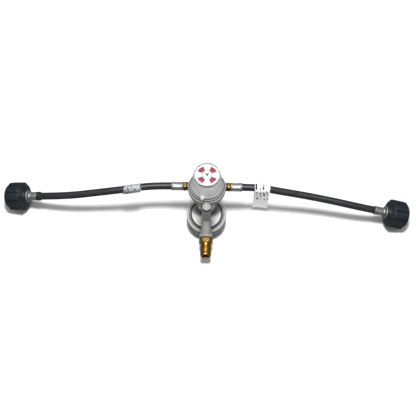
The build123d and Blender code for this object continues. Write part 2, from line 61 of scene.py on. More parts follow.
# ---- measures from the frame
KNOB_AXIS = Vector(JOINTS["selector_turn"]["pos_m"]) * Vector((1, 1, 0))
KNOB_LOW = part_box("knob_shell")[0].z
KNOB_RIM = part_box("knob_lens")[0].z
LENS_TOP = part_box("knob_lens")[1].z
LENS_R = (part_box("knob_lens")[1].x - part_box("knob_lens")[0].x) / 2
OUTLET_AXIS = Vector(MOUNTS["outlet"]["axis"])
OUTLET_MIDDLE = Vector(MOUNTS["outlet"]["pos_m"]) * Vector((1, 0, 1))
OUTLET_HEX_START = -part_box("main_body")[0].y
OUTLET_END = -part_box("outlet_fitting")[0].y
HOSE_R = 6.35 * MM
INLET = Vector((0, 29.0 * MM, 86.0 * MM))
INLET_FACE = 33.0 * MM
FERRULE_START = 41.0 * MM
FERRULE_END = 61.0 * MM
POINTER_DEG = -106.0


# ---- camera
def added(name, data):
    """A new object in the scene, holding the given mesh, curve, lamp or camera."""
    piece = bpy.data.objects.new(name, data)
    bpy.context.scene.collection.objects.link(piece)
    return piece


def make_camera():
    """Looks down along +Y at the middle of the object, turned very slightly."""
    elevation = math.radians(62.0)
    roll = math.radians(1.1)
    distance = 1.920
    target = Vector((0.0026, 0.0329, 0.0))
    forward = Vector((0, math.cos(elevation), -math.sin(elevation)))
    right = Vector((1, 0, 0))
    above = right.cross(forward)
    turned_right = right * math.cos(roll) + above * math.sin(roll)
    turned_up = above * math.cos(roll) - right * math.sin(roll)
    data = bpy.data.cameras.new("camera")
    data.sensor_width = 36.0
    data.lens = 92.1
    data.clip_start = 0.05
    data.clip_end = 20.0
    camera = added("camera", data)
    turn = Matrix((turned_right, turned_up, -forward)).transposed().to_4x4()
    camera.matrix_world = Matrix.Translation(target - forward * distance) @ turn
    bpy.context.scene.camera = camera


make_camera()


# ---- materials
def srgb(red, green, blue):
    """A linear colour from 0 to 255 display values."""
    def linear(value):
        share = value / 255
        return share / 12.92 if share <= 0.04045 else ((share + 0.055) / 1.055) ** 2.4
    return (linear(red), linear(green), linear(blue), 1.0)


class Surface:
    """A Principled material whose colour, roughness and bump come from layered noise."""

    def __init__(self, name, metallic=0.0, coat=0.0, specular=0.5):
        self.material = bpy.data.materials.new(name)
        self.material.use_nodes = True
        self.tree = self.material.node_tree
        self.shader = self.tree.nodes["Principled BSDF"]
        self.shader.inputs["Metallic"].default_value = metallic
        self.shader.inputs["Coat Weight"].default_value = coat
        self.shader.inputs["Coat Roughness"].default_value = 0.15
        self.shader.inputs["Specular IOR Level"].default_value = specular
        coordinates = self.add("ShaderNodeTexCoord")
        self.place = coordinates.outputs["Object"]
        self.normal = None

    def add(self, kind, **settings):
        node = self.tree.nodes.new(kind)
        for key, value in settings.items():
            setattr(node, key, value)
        return node

    def link(self, source, target):
        self.tree.links.new(source, target)
        return self

    def stretched(self, scale, turn=(0, 0, 0)):
        """Object coordinates, scaled unevenly and turned."""
        mapping = self.add("ShaderNodeMapping")
        mapping.inputs["Scale"].default_value = scale
        mapping.inputs["Rotation"].default_value = turn
        self.link(self.place, mapping.inputs["Vector"])
        return mapping.outputs["Vector"]

    def noise(self, per_metre, detail=4.0, rough=0.55, warp=0.0, vector=None):
        node = self.add("ShaderNodeTexNoise")
        node.inputs["Scale"].default_value = per_metre
        node.inputs["Detail"].default_value = detail
        node.inputs["Roughness"].default_value = rough
        node.inputs["Distortion"].default_value = warp
        self.link(vector or self.place, node.inputs["Vector"])
        return node.outputs["Fac"]

    def grains(self, per_metre):
        node = self.add("ShaderNodeTexVoronoi")
        node.inputs["Scale"].default_value = per_metre
        self.link(self.place, node.inputs["Vector"])
        return node.outputs["Distance"]

    def spread(self, value, low, high, to_low=0.0, to_high=1.0):
        """Stretches the part of a value between low and high over a new range."""
        node = self.add("ShaderNodeMapRange")
        node.inputs["From Min"].default_value = low
        node.inputs["From Max"].default_value = high
        node.inputs["To Min"].default_value = to_low
        node.inputs["To Max"].default_value = to_high
        self.link(value, node.inputs["Value"])
        return node.outputs["Result"]

    def clouds(self, per_metre, low=0.3, high=0.7, to_low=0.0, to_high=1.0, warp=0.0):
        """Noise with its middle range stretched over a new one."""
        return self.spread(self.noise(per_metre, warp=warp), low, high, to_low, to_high)

    def maths(self, operation, first, second=None):
        node = self.add("ShaderNodeMath", operation=operation)
        for socket, value in zip(node.inputs, (first, second)):
            if value is None:
                continue
            if isinstance(value, (int, float)):
                socket.default_value = value
            else:
                self.link(value, socket)
        return node.outputs[0]

    def blended(self, share, first, second):
        """A colour that turns from first to second with share."""
        node = self.add("ShaderNodeMix", data_type="RGBA")
        self.link(share, node.inputs["Factor"])
        for socket, value in ((node.inputs[6], first), (node.inputs[7], second)):
            if isinstance(value, tuple):
                socket.default_value = value
            else:
                self.link(value, socket)
        return node.outputs[2]

    def colour(self, value):
        return self.link(value, self.shader.inputs["Base Color"])

    def roughness(self, value):
        return self.link(value, self.shader.inputs["Roughness"])

    def round_edges(self, radius):
        """Softens the corners of a CAD solid where light catches them."""
        node = self.add("ShaderNodeBevel", samples=4)
        node.inputs["Radius"].default_value = radius
        self.normal = node.outputs["Normal"]
        return self

    def bump(self, height, depth):
        """Raises the surface by height times depth, over the bumps already there."""
        node = self.add("ShaderNodeBump")
        node.inputs["Strength"].default_value = 1.0
        node.inputs["Distance"].default_value = depth
        self.link(height, node.inputs["Height"])
        if self.normal is not None:
            self.link(self.normal, node.inputs["Normal"])
        self.normal = node.outputs["Normal"]
        return self

    def worn(self, base, bright, sharpness=0.53):
        """Rubbed edges, from how sharply the surface turns outwards."""
        geometry = self.add("ShaderNodeNewGeometry")
        edge = self.spread(geometry.outputs["Pointiness"], sharpness, sharpness + 0.05)
        patchy = self.maths("MULTIPLY", edge, self.clouds(260.0, 0.35, 0.6))
        return self.blended(patchy, base, bright)

    def rubbed(self, base, bright, reach):
        """Bright metal in patches along the corners, found by rounding them over reach."""
        eased = self.add("ShaderNodeBevel", samples=4)
        eased.inputs["Radius"].default_value = reach
        geometry = self.add("ShaderNodeNewGeometry")
        facing = self.add("ShaderNodeVectorMath", operation="DOT_PRODUCT")
        self.link(eased.outputs["Normal"], facing.inputs[0])
        self.link(geometry.outputs["Normal"], facing.inputs[1])
        edge = self.spread(facing.outputs["Value"], 0.9, 0.99, 1.0, 0.0)
        patchy = self.maths("MULTIPLY", edge, self.clouds(260.0, 0.35, 0.6))
        return self.blended(patchy, base, bright)

    def shade_in_hollows(self, reach, depth):
        """1 out in the open, towards 0 where the surface is shut in within reach."""
        node = self.add("ShaderNodeAmbientOcclusion", samples=8)
        node.inputs["Distance"].default_value = reach
        return self.maths("POWER", node.outputs["AO"], depth)

    def upward(self, low, high):
        """0 on sheer and overhanging faces, 1 on faces that look up."""
        geometry = self.add("ShaderNodeNewGeometry")
        split = self.add("ShaderNodeSeparateXYZ")
        self.link(geometry.outputs["Normal"], split.inputs["Vector"])
        return self.spread(split.outputs["Z"], low, high)

    def done(self):
        if self.normal is not None:
            self.link(self.normal, self.shader.inputs["Normal"])
        return self.material


def machined_dish(zinc, low, radius):
    """Adds fine turned rings to the dish's smooth floor, and gives 1 there and 0 elsewhere."""
    height = 3 * MM
    ring_rate = 14000.0  # radians per metre, a ring about every 0.45 mm
    split = zinc.add("ShaderNodeSeparateXYZ")
    zinc.link(zinc.place, split.inputs["Vector"])
    across = zinc.maths("ADD", zinc.maths("MULTIPLY", split.outputs["X"], split.outputs["X"]),
                        zinc.maths("MULTIPLY", split.outputs["Y"], split.outputs["Y"]))
    out = zinc.maths("SQRT", across)
    inside = zinc.maths("LESS_THAN", out, radius)
    above = zinc.maths("GREATER_THAN", split.outputs["Z"], low)
    below = zinc.maths("LESS_THAN", split.outputs["Z"], low + height)
    machined = zinc.maths("MULTIPLY", zinc.maths("MULTIPLY", inside, above), below)
    rings = zinc.maths("SINE", zinc.maths("MULTIPLY", out, ring_rate))
    zinc.bump(zinc.maths("MULTIPLY", rings, machined), 0.012 * MM)
    return machined


def cast_zinc(name, light, dark, metallic, turned_top=None, sheer=None):
    """Die-cast zinc: a fine grain, faint flow stains, painted shade darkening its recesses, rubbed edges.

    Faces that look up keep the light and dark tones; sheer ones turn to the sheer colour, a painted shade for the
    sides that the lamp barely lights.
    turned_top is (lowest Z, radius) of a smooth machined floor, coloured near-white: partly its own turned finish,
    partly a painted highlight of the lamp.
    """
    zinc = Surface(name, metallic=metallic)
    stains = zinc.clouds(38.0, 0.3, 0.72, warp=1.2)
    tone = zinc.blended(stains, dark, light)
    fine = zinc.spread(zinc.noise(900.0, detail=2.0), 0.3, 0.7)
    tone = zinc.blended(fine, tone, light)
    zinc.round_edges(0.45 * MM)
    zinc.bump(zinc.noise(1500.0, detail=3.0), 0.06 * MM)
    zinc.bump(zinc.noise(160.0, detail=2.0), 0.12 * MM)
    rough = zinc.clouds(120.0, to_low=0.36, to_high=0.5)
    if turned_top is not None:
        machined = machined_dish(zinc, *turned_top)
        rough_mix = zinc.add("ShaderNodeMix", data_type="FLOAT")
        zinc.link(machined, rough_mix.inputs[0])
        zinc.link(rough, rough_mix.inputs[2])
        zinc.link(zinc.clouds(300.0, to_low=0.16, to_high=0.28), rough_mix.inputs[3])
        rough = rough_mix.outputs[0]
        # near-white machined floor: its own bright turned finish together with a painted highlight
        tone = zinc.blended(machined, tone, srgb(246, 247, 245))
    if sheer is not None:
        # painted shade: sheer and overhanging faces darken to the sheer colour
        tone = zinc.blended(zinc.upward(0.35, 1.0), sheer, tone)
    rubbed = zinc.rubbed(tone, srgb(226, 226, 222), 0.7 * MM)
    # painted shade: surfaces shut in within 16 mm turn towards near-black, standing in for shadow
    zinc.colour(zinc.blended(zinc.shade_in_hollows(16 * MM, 1.8), srgb(34, 34, 33), rubbed))
    return zinc.roughness(rough).done()


def painted_zinc(name, light, dark):
    """A satin grey lacquer over a casting, with a fine orange peel and rubbed edges."""
    paint = Surface(name, metallic=0.1, coat=0.15)
    tone = paint.blended(paint.clouds(60.0, warp=0.8), dark, light)
    paint.bump(paint.noise(700.0, detail=2.0), 0.035 * MM)
    paint.bump(paint.grains(2600.0), 0.01 * MM)
    paint.colour(paint.worn(tone, srgb(205, 206, 204)))
    return paint.roughness(paint.clouds(200.0, to_low=0.36, to_high=0.48)).done()


def brass(name, light, dark, rough):
    """Machined brass with turning lines, tarnish in patches and bright edges."""
    metal = Surface(name, metallic=1.0)
    tarnish = metal.clouds(190.0, 0.35, 0.75, warp=1.5)
    tone = metal.blended(tarnish, light, dark)
    metal.bump(metal.noise(2600.0, detail=2.0), 0.02 * MM)
    lines = metal.noise(1.0, detail=3.0, vector=metal.stretched((300, 5200, 300)))
    metal.bump(lines, 0.015 * MM)
    metal.colour(metal.worn(tone, srgb(240, 214, 140), 0.52))
    return metal.roughness(metal.clouds(420.0, to_low=rough, to_high=rough + 0.16)).done()


def plated_steel(name, light, dark, rough, grain=(2400, 300, 300)):
    """Zinc-plated steel with a drawn grain and a little dullness in patches."""
    metal = Surface(name, metallic=0.95)
    tone = metal.blended(metal.clouds(240.0, warp=1.0), light, dark)
    metal.bump(metal.noise(1.0, detail=3.0, vector=metal.stretched(grain)), 0.02 * MM)
    metal.bump(metal.noise(1300.0), 0.015 * MM)
    metal.colour(metal.worn(tone, srgb(232, 233, 234), 0.52))
    return metal.roughness(metal.clouds(330.0, to_low=rough, to_high=rough + 0.14)).done()


def hose_rubber(name, light, dark):
    """Extruded hose cover: drawn streaks along the hose, talc haze and small scuffs."""
    rubber = Surface(name, specular=0.42)
    streaks = rubber.noise(1.0, detail=4.0, vector=rubber.stretched((26, 480, 480)))
    tone = rubber.blended(rubber.spread(streaks, 0.35, 0.68), dark, light)
    scuffs = rubber.spread(rubber.noise(330.0, detail=6.0, warp=2.0), 0.66, 0.74, 0.0, 0.35)
    rubber.colour(rubber.blended(scuffs, tone, srgb(120, 121, 124)))
    rubber.bump(rubber.noise(1.0, detail=2.0, vector=rubber.stretched((40, 900, 900))), 0.035 * MM)
    rubber.bump(rubber.noise(2100.0, detail=2.0), 0.02 * MM)
    return rubber.roughness(rubber.spread(streaks, 0.3, 0.7, 0.34, 0.5)).done()


def moulded_plastic(name, light, dark, rough, spark=0.03, specular=0.5):
    """Injection-moulded plastic with a spark-eroded texture and scuffed high edges."""
    plastic = Surface(name, specular=specular)
    tone = plastic.blended(plastic.clouds(90.0, warp=0.6), dark, light)
    plastic.bump(plastic.grains(1700.0), spark * MM)
    plastic.bump(plastic.noise(420.0), spark * MM)
    lifted = tuple(min(1.0, value * 2.2 + 0.02) for value in light[:3]) + (1.0,)
    plastic.colour(plastic.worn(tone, lifted, 0.54))
    return plastic.roughness(plastic.clouds(300.0, to_low=rough, to_high=rough + 0.14)).done()


def clear_plastic(name):
    """Clear polycarbonate that lets lamp light through to the dial below it."""
    clear = Surface(name, specular=0.5)
    clear.shader.inputs["Transmission Weight"].default_value = 1.0
    clear.shader.inputs["IOR"].default_value = 1.45
    tint = clear.blended(clear.clouds(70.0), srgb(250, 251, 252), srgb(244, 246, 247))
    clear.colour(tint)
    clear.bump(clear.noise(45.0, detail=1.0), 0.02 * MM)
    clear.roughness(clear.clouds(500.0, 0.55, 0.8, 0.015, 0.07))
    clear.done()
    see = clear.add("ShaderNodeLightPath")
    through = clear.add("ShaderNodeBsdfTransparent")
    through.inputs["Color"].default_value = srgb(246, 247, 248)
    mix = clear.add("ShaderNodeMixShader")
    clear.link(see.outputs["Is Shadow Ray"], mix.inputs["Fac"])
    clear.link(clear.shader.outputs["BSDF"], mix.inputs[1])
    clear.link(through.outputs["BSDF"], mix.inputs[2])
    clear.link(mix.outputs["Shader"], clear.tree.nodes["Material Output"].inputs["Surface"])
    return clear.material


def printed_paper(name, light, dark, rough, fibre=0.03, metallic=0.0, rows=None, ink=None):
    """Coated stock: a faint fibre cloudiness, soft creases and unreadable print.

    rows is (turn, rows per metre, strokes per metre) of the print, which has no reading.
    """
    paper = Surface(name, metallic=metallic, specular=0.4)
    fibres = paper.noise(1.0, detail=5.0, vector=paper.stretched((900, 500, 200)))
    tone = paper.blended(paper.spread(fibres, 0.3, 0.7), dark, light)
    paper.bump(fibres, fibre * MM)
    paper.bump(paper.noise(60.0, detail=1.0), 0.35 * MM)
    if rows is not None:
        turn, across, along = rows
        split = paper.add("ShaderNodeSeparateXYZ")
        paper.link(paper.stretched((1, 1, 1), turn), split.inputs["Vector"])
        lines = paper.maths("FRACT", paper.maths("MULTIPLY", split.outputs["X"], across))
        strokes = paper.noise(1.0, detail=1.0, vector=paper.stretched((across, 40, along), turn))
        blocks = paper.noise(95.0, detail=0.0)
        above = paper.maths("GREATER_THAN", split.outputs["Z"], 34 * MM)
        printed = paper.maths("MULTIPLY", paper.spread(lines, 0.5, 0.56, 1.0, 0.0),
                              paper.spread(strokes, 0.46, 0.53))
        printed = paper.maths("MULTIPLY", printed, paper.spread(blocks, 0.3, 0.36))
        printed = paper.maths("MULTIPLY", printed, above)
        tone = paper.blended(printed, tone, ink)
    paper.colour(tone)
    return paper.roughness(paper.clouds(150.0, to_low=rough, to_high=rough + 0.14)).done()


# the sheer colours given to ZINC and PLUG_STEEL are painted shade on faces that don't look up
ZINC = cast_zinc("cast_zinc", srgb(192, 194, 191), srgb(150, 152, 149), 0.25,
                 turned_top=(37.4 * MM, 25.2 * MM), sheer=srgb(126, 128, 126))
ZINC_PLAIN = cast_zinc("cast_zinc_plain", srgb(186, 188, 185), srgb(148, 150, 147), 0.5)
KNOB_GREY = painted_zinc("knob_lacquer", srgb(222, 223, 221), srgb(196, 198, 196))
BRASS = brass("outlet_brass", srgb(224, 188, 98), srgb(150, 112, 46), 0.16)
BRASS_NUT = brass("flare_nut_brass", srgb(214, 160, 70), srgb(134, 90, 34), 0.16)
DARK_STEEL = plated_steel("dark_steel", srgb(84, 85, 86), srgb(54, 55, 56), 0.4)
PLUG_STEEL = cast_zinc("plug_steel", srgb(186, 187, 183), srgb(158, 159, 155), 0.3,
                       sheer=srgb(92, 93, 92))
PLATED = plated_steel("plated_steel", srgb(176, 178, 180), srgb(132, 134, 136), 0.3)
FERRULE = plated_steel("ferrule_steel", srgb(184, 186, 185), srgb(136, 138, 138), 0.5)
SPRING = plated_steel("spring_steel", srgb(150, 152, 158), srgb(104, 106, 112), 0.26)
HOSE = hose_rubber("hose_cover", srgb(46, 47, 50), srgb(28, 29, 32))
RUBBER = moulded_plastic("seal_rubber", srgb(40, 41, 43), srgb(26, 27, 28), 0.5)
NUT_BLACK = moulded_plastic("nut_nylon", srgb(34, 42, 47), srgb(20, 26, 29), 0.3, 0.04)
DIAL_WHITE = moulded_plastic("dial_white", srgb(228, 229, 229), srgb(216, 218, 218), 0.34, 0.01)
DRUM_RED = moulded_plastic("indicator_red", srgb(112, 7, 25), srgb(84, 4, 18), 0.42, 0.01, 0.2)
# MARK_DARK is the arrow's real ink and also the painted shade ring about the hub
MARK_DARK = moulded_plastic("dark_ink_and_painted_shade", srgb(44, 44, 48), srgb(28, 28, 30), 0.5, 0.01)
MARK_GREY = moulded_plastic("mark_grey", srgb(122, 122, 126), srgb(96, 96, 100), 0.5, 0.01)
CLEAR = clear_plastic("clear_cap")
LABEL = printed_paper("label_foil", srgb(186, 187, 190), srgb(154, 156, 160), 0.5, 0.02, 0.1,
                      ((0, 0.5, 0), 190.0, 420.0), srgb(70, 72, 76))
PAPER = printed_paper("tag_card", srgb(250, 250, 249), srgb(240, 241, 240), 0.55,
                      rows=((0, 0.08, 0), 165.0, 210.0), ink=srgb(34, 34, 36))


# ---- shape helpers
def axis_place(origin, direction, spin=0.0):
    """Placement with local Z along direction and local X level, then spun about Z."""
    along = Vector(direction).normalized()
    if abs(along.z) > 0.99:
        across = Vector((1, 0, 0))
    else:
        across = along.cross(Vector((0, 0, 1))).normalized()
    turn = Matrix((across, along.cross(across), along)).transposed().to_4x4()
    return Matrix.Translation(origin) @ turn @ Matrix.Rotation(spin, 4, "Z")


def rounded(profile, radius, steps=4, closed=True):
    """The profile with each corner replaced by a short smooth curve."""
    points = [Vector(point) for point in profile]
    made = []
    for index, corner in enumerate(points):
        if not closed and index in (0, len(points) - 1):
            made.append(corner)
            continue
        before = points[index - 1] - corner
        after = points[(index + 1) % len(points)] - corner
        cut = min(radius, 0.45 * before.length, 0.45 * after.length)
        start = corner + before.normalized() * cut
        end = corner + after.normalized() * cut
        for step in range(steps + 1):
            share = step / steps
            made.append(
                start * (1 - share) ** 2 + corner * 2 * share * (1 - share) + end * share**2
            )
    return made


def as_mesh(work, name, place=None):
    """The bmesh as a mesh, moved to its place, with the bmesh freed."""
    mesh = bpy.data.meshes.new(name)
    work.to_mesh(mesh)
    work.free()
    if place is not None:
        mesh.transform(place)
    return mesh


def finished(name, mesh, material, crease_deg=32.0):
    """A smooth-shaded object with creases only where the surface turns sharply."""
    work = bmesh.new()
    work.from_mesh(mesh)
    bmesh.ops.remove_doubles(work, verts=work.verts, dist=1e-7)
    bmesh.ops.dissolve_degenerate(work, edges=work.edges, dist=1e-7)
    bmesh.ops.recalc_face_normals(work, faces=work.faces)
    limit = math.radians(crease_deg)
    for face in work.faces:
        face.smooth = True
    for edge in work.edges:
        edge.smooth = len(edge.link_faces) == 2 and edge.calc_face_angle(0.0) < limit
    work.to_mesh(mesh)
    work.free()
    mesh.materials.clear()
    mesh.materials.append(material)
    piece = added(name, mesh)
    weights = piece.modifiers.new("even_normals", "WEIGHTED_NORMAL")
    weights.keep_sharp = True
    return piece


def eased_edges(piece, width, segments):
    """Bevels a piece's sharp edges."""
    edges = piece.modifiers.new("edges", "BEVEL")
    edges.width = width
    edges.segments = segments
    edges.limit_method = "ANGLE"
    return edges


def turned(name, profile, place, material, segments=96, shape=None, crease_deg=32.0):
    """A body of revolution from a (radius, distance) outline.

    The outline is a loop, or runs from axis to axis. shape(radius, distance, angle)
    gives the radius where the section isn't round.
    """
    work = bmesh.new()
    rings = []
    for radius, distance in profile:
        if radius < 1e-7:
            rings.append([work.verts.new((0, 0, distance))])
            continue
        ring = []
        for step in range(segments):
            angle = step / segments * TAU
            out = shape(radius, distance, angle) if shape else radius
            ring.append(work.verts.new((out * math.cos(angle), out * math.sin(angle), distance)))
        rings.append(ring)
    pairs = list(zip(rings, rings[1:]))
    if len(rings[0]) > 1 and len(rings[-1]) > 1:
        pairs.append((rings[-1], rings[0]))
    for lower, upper in pairs:
        for step in range(segments):
            following = (step + 1) % segments
            corners = [lower[step % len(lower)], lower[following % len(lower)],
                       upper[following % len(upper)], upper[step % len(upper)]]
            corners = list(dict.fromkeys(corners))
            if len(corners) > 2:
                work.faces.new(corners)
    return finished(name, as_mesh(work, name, place), material, crease_deg)


def hexagon_radius(flats, angle):
    """Distance from the axis to a hexagon's side, with its corners eased."""
    sixth = TAU / 6
    apothem = flats / 2
    side = apothem / math.cos((angle + sixth / 2) % sixth - sixth / 2)
    return min(side, apothem / math.cos(sixth / 2) * 0.985)


def in_mm(points):
    """Outline points given in millimetres, in metres."""
    return [(first * MM, second * MM) for first, second in points]


def band(inner, outer, low, high):
    """The section of a plain ring, from its two radii and its two ends."""
    return [(inner, low), (outer, low), (outer, high), (inner, high)]


def smooth_step(value, low, high):
    """0 at low, 1 at high, with a soft start and end."""
    share = min(1.0, max(0.0, (value - low) / (high - low)))
    return share * share * (3 - 2 * share)


def thread_cut(distance, angle, start, end, pitch, fade=0.7):
    """How deep a helical V thread is here, from 0 at its crest to 1 at its root."""
    phase = ((distance - start) / pitch - angle / TAU) % 1.0
    wave = 1 - abs(phase * 2 - 1)
    ends = min((distance - start) / (fade * pitch), (end - distance) / (fade * pitch), 1.0)
    return min(1.0, max(0.0, wave * 1.25 - 0.1)) * max(0.0, ends)


def dense(start, end, count, radius):
    """Evenly spaced outline points at one radius."""
    return [(radius, start + (end - start) * step / count) for step in range(count + 1)]


def put(piece, body, slot, *nodes):
    """Rides and stands for CAD nodes; slot is not used."""
    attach(piece, body)
    if nodes:
        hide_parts(*nodes)
    return piece


# ---- hoses
FERRULE_BACK = {"left": 19.0 * MM, "right": 23.0 * MM}


def hose_points(name):
    """The hose's route, as in the CAD source, in metres."""
    nut = JOINTS[f"hand_nut_{name}_turn"]
    face, along = Vector(nut["pos_m"]), Vector(nut["axis"])
    last_run = 24.0 * MM
    free = {
        "left": [(-94, 29, 86), (-139, 22.7, 83), (-186, 20.5, 74), (-235, 20.1, 61.5)],
        "right": [(90, 29, 86), (128, 26.5, 78.5), (176, 24.8, 67), (224, 18.8, 60)],
    }
    end = face - along * FERRULE_BACK[name]
    start = INLET + Vector((SIDES[name] * FERRULE_END, 0, 0))
    return [start, *[Vector(point) * MM for point in free[name]], end - along * last_run, end]


def make_hose(name):
    """One pigtail: a smooth tube along its route, on a spline with no corners."""
    curve = bpy.data.curves.new(f"pigtail_hose_{name}", "CURVE")
    curve.dimensions = "3D"
    curve.resolution_u = 24
    curve.bevel_depth = HOSE_R
    curve.bevel_resolution = 12
    curve.use_fill_caps = True
    points = hose_points(name)
    spline = curve.splines.new("NURBS")
    spline.points.add(len(points) - 1)
    for control, point in zip(spline.points, points):
        control.co = (*point, 1.0)
    spline.order_u = 3
    spline.use_endpoint_u = True
    spline.use_smooth = True
    curve.materials.append(HOSE)
    return put(added(f"pigtail_hose_{name}", curve), "regulator", "hose_rubber", f"hose_{name}")


HOSES = {name: make_hose(name) for name in SIDES}


def hose_line(name):
    """Points along a hose, read from its own spline with the bevel taken off."""
    bare = HOSES[name].data.copy()
    bare.bevel_depth = 0.0
    bare.use_fill_caps = False
    holder = bpy.data.objects.new("line", bare)
    mesh = bpy.data.meshes.new_from_object(holder)
    points = [vertex.co.copy() for vertex in mesh.vertices]
    bpy.data.objects.remove(holder)
    bpy.data.meshes.remove(mesh)
    bpy.data.curves.remove(bare)
    return points


# ---- selector and dial
def on_knob(height, spin=0.0):
    """Placement on the selector's axis at a height."""
    return axis_place(KNOB_AXIS + Vector((0, 0, height)), (0, 0, 1), spin)


def make_knob():
    """The tapered ring under the cap, whose skirt draws out into a pointer."""
    wall = [(24.0, 0), (26.4, 0), (26.4, 1.1), (26.4, 2.2), (26.1, 2.8), (25.6, 3.3), (25.55, 4.6),
            (25.5, 6.0), (25.45, 7.6), (25.4, 9.4), (25.35, 12.0), (25.25, 16.0), (25.05, 20.0),
            (24.75, 24.0), (24.4, 28.0), (24.0, 31.2), (23.6, 32.8), (23.2, 33.3), (21.2, 33.3),
            (21.2, 21.3), (5.0, 21.3), (5.0, 16.5), (8.5, 16.5), (8.5, 18.5), (20.8, 18.5),
            (23.6, 9.3)]
    profile = rounded(in_mm(wall), 0.35 * MM, steps=2)
    shoulder, tip = 25.0 * MM, 32.6 * MM
    slope = (tip - shoulder) / (5.8 * MM)
    full, gone = 3.0 * MM, 9.5 * MM

    def shape(radius, distance, angle):
        if radius < 24.2 * MM:
            return radius
        off = (angle + math.pi) % TAU - math.pi
        if abs(off) > math.radians(30):
            return radius
        reach = tip / (math.cos(off) + slope * math.sin(abs(off)))
        reach -= 0.5 * MM * math.exp(-((off / 0.03) ** 2))
        drawn = max(0.0, reach - radius) * (1 - smooth_step(distance, full, gone))
        return radius + drawn

    knob = turned("selector_ring", profile, on_knob(KNOB_LOW, math.radians(POINTER_DEG)),
                  KNOB_GREY, segments=240, shape=shape, crease_deg=40)
    return put(knob, "selector_knob", "zinc_casting", "knob_shell")


def make_lens():
    """The clear cap, with a moat around its middle boss and a stepped rim."""
    top = LENS_TOP - KNOB_RIM
    radius = LENS_R
    outer = [(0, top), (7.3 * MM, top), (7.6 * MM, top - 0.5 * MM), (8.7 * MM, top - 0.5 * MM),
             (9.1 * MM, top - 0.15 * MM), (20.2 * MM, top - 0.15 * MM), (20.6 * MM, top),
             (21.6 * MM, top), (22.8 * MM, top - 0.6 * MM), (radius, top - 1.9 * MM),
             (radius, 1.8 * MM), (radius + 0.25 * MM, 1.4 * MM), (radius + 0.25 * MM, 0.3 * MM),
             (21.7 * MM, 0.3 * MM), (21.7 * MM, top - 2.2 * MM), (21.1 * MM, top - 1.6 * MM),
             (0, top - 1.6 * MM)]
    profile = rounded(outer, 0.3 * MM, steps=3, closed=False)
    lens = turned("clear_cap", profile, on_knob(KNOB_RIM), CLEAR, segments=144)
    lens.visible_diffuse = False
    return put(lens, "selector_knob", "clear_plastic", "knob_lens")


DIAL_FACE = LENS_TOP - 2.5 * MM


def make_dial():
    """White disc with four windows over the coloured drum, and a raised hub."""
    segments = 144
    window_low, window_high = 9.0, 17.4
    window_half = math.radians(21.5)
    rings = [(0, 0.75), (3, 0.75), (6.8, 0.75), (7.3, 0.6), (7.6, 0.2), (8.2, 0), (9.0, 0),
             (12.3, 0), (15.0, 0), (17.4, 0), (19.4, 0), (19.8, 0.3), (20.6, 0.3), (21.0, 0)]
    work = bmesh.new()
    made = []
    for radius, height in rings:
        if radius == 0:
            made.append([work.verts.new((0, 0, height * MM))])
            continue
        turns = [step / segments * TAU for step in range(segments)]
        made.append([work.verts.new((radius * MM * math.cos(angle), radius * MM * math.sin(angle),
                                     height * MM)) for angle in turns])
    for inner, outer, (low, _), (high, _) in zip(made, made[1:], rings, rings[1:]):
        for step in range(segments):
            middle = (step + 0.5) / segments * TAU
            off = abs((middle % (TAU / 4)) - TAU / 8)
            within = low >= window_low and high <= window_high
            if within and off < window_half:
                continue
            following = (step + 1) % segments
            corners = [inner[step % len(inner)], outer[step], outer[following],
                       inner[following % len(inner)]]
            work.faces.new(list(dict.fromkeys(corners)))
    dial = finished("indicator_face", as_mesh(work, "dial", on_knob(DIAL_FACE)), DIAL_WHITE)
    if sum(face.normal.z for face in dial.data.polygons) < 0:
        dial.data.flip_normals()
    thick = dial.modifiers.new("thickness", "SOLIDIFY")
    thick.thickness = 0.6 * MM
    thick.offset = -1
    eased_edges(dial, 0.18 * MM, 2).angle_limit = math.radians(50)
    dial.modifiers.move(0, 2)
    return put(dial, "selector_knob", "white_plastic", "indicator_dial")


def prism(name, outline, low, high, place, material, bevel):
    """A straight-sided solid over an outline of (x, y) points, with eased edges."""
    work = bmesh.new()
    bottom = [work.verts.new((x, y, low)) for x, y in outline]
    upper = [work.verts.new((x, y, high)) for x, y in outline]
    work.faces.new(list(reversed(bottom)))
    work.faces.new(upper)
    for index in range(len(outline)):
        following = (index + 1) % len(outline)
        work.faces.new([bottom[index], bottom[following], upper[following], upper[index]])
    piece = finished(name, as_mesh(work, name, place), material)
    eased_edges(piece, bevel, 3)
    piece.modifiers.move(0, 1)
    return piece


def make_dial_arrow():
    """The small dark arrow head on the hub."""
    place = on_knob(DIAL_FACE + 0.72 * MM)
    outline = in_mm([(-4.0, 3.4), (0, -3.2), (4.0, 3.4), (0, 1.6)])
    arrow = prism("dial_arrow", outline, 0, 0.15 * MM, place, MARK_DARK, 0.03 * MM)
    return put(arrow, "selector_knob", "black_plastic")


def make_hub_ring():
    """A dark ring about the hub: painted shade where the hub's raised edge drops to the dial."""
    profile = band(7.5 * MM, 8.3 * MM, 0, 0.15 * MM)
    ring = turned("dial_ring", profile, on_knob(DIAL_FACE), MARK_DARK)
    return put(ring, "selector_knob", "black_plastic")


def make_cap_gasket():
    """The grey seal that shows as a line between the clear cap and the knob."""
    profile = rounded(band(22.4 * MM, 23.7 * MM, -0.1 * MM, 0.35 * MM), 0.12 * MM, steps=2)
    gasket = turned("cap_gasket", profile, on_knob(KNOB_RIM), MARK_GREY)
    return put(gasket, "selector_knob", "black_plastic")


# ---- brass and steel
def cone(start, end, count):
    """Outline points from one (radius, distance) to another."""
    return [
        tuple(a + (b - a) * step / count for a, b in zip(start, end)) for step in range(count + 1)
    ]


